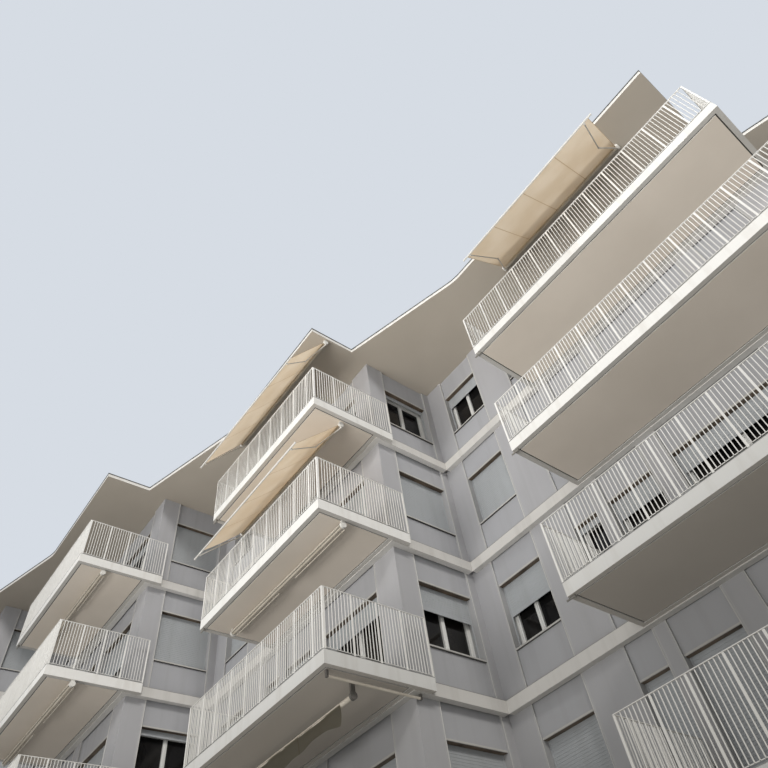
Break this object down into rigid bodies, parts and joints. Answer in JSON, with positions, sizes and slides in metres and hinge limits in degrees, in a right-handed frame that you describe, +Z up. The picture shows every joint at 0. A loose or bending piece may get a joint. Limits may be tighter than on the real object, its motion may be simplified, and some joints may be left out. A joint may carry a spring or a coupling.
{
  "type": "apartment block",
  "caption": "Flat-roofed apartment block whose bays step back in echelon, with stacked balconies, slotted railings, shuttered windows and awnings.",
  "frame": {"origin": "on the ground, under the middle of the middle bay's ground slab", "axes": "+X right along the fronts, +Y from the fronts into the building, +Z up"},
  "size_m": [39.401, 24.7954, 15.455],
  "materials": {
    "roof_covering": "grey roofing sheet with a metal drip edge",
    "floor_concrete": "bare concrete",
    "soffit_paint": "smooth painted concrete, matte warm grey",
    "railing_paint": "satin off-white paint on square steel bar",
    "wall_render": "smooth light grey render",
    "panel_render": "smooth light grey painted panel",
    "rib_paint": "pale grey painted concrete rib",
    "band_paint": "off-white painted concrete band",
    "window_glass": "dark window glass",
    "shutter_plastic": "pale grey slatted plastic shutter",
    "frame_paint": "white painted window frame",
    "sill_stone": "pale stone sill",
    "balcony_paint": "off-white painted concrete",
    "awning_canvas": "cream acrylic canvas",
    "awning_metal": "cream painted aluminium"
  },
  "bodies": {
    "root": {"ground_slab": "floor_concrete", "floors_odd_bays": "floor_concrete", "floors_even_bays": "floor_concrete", "front_walls": "wall_render", "step_walls": "wall_render", "front_panels": "panel_render", "window_ribs": "rib_paint", "back_walls": "wall_render", "back_step_walls": "wall_render", "back_panels": "panel_render", "party_walls": "wall_render", "front_bands": "band_paint", "step_bands": "band_paint", "back_bands": "band_paint", "back_step_bands": "band_paint", "front_window_frames": "frame_paint", "front_window_glass": "window_glass", "front_shutters": "shutter_plastic", "window_sills": "sill_stone", "back_window_frames": "frame_paint", "back_window_glass": "window_glass", "back_shutters": "shutter_plastic", "balcony_slabs": "balcony_paint", "balcony_side_edges": "balcony_paint", "front_railings_bay_1": "railing_paint", "front_railings_bay_2": "railing_paint", "front_railings_bay_3": "railing_paint", "front_railings_bay_4": "railing_paint", "front_railings_bay_5": "railing_paint", "left_railings": "railing_paint", "right_railings": "railing_paint", "roof_odd_bays": "soffit_paint", "roof_even_bays": "soffit_paint", "roof_covering": "roof_covering", "awning_rollers": "awning_canvas", "awning_brackets": "awning_metal", "awning_arms": "awning_metal", "awning_front_bars": "awning_metal", "awning_cloths": "awning_canvas"}
  },
  "joints": []
}
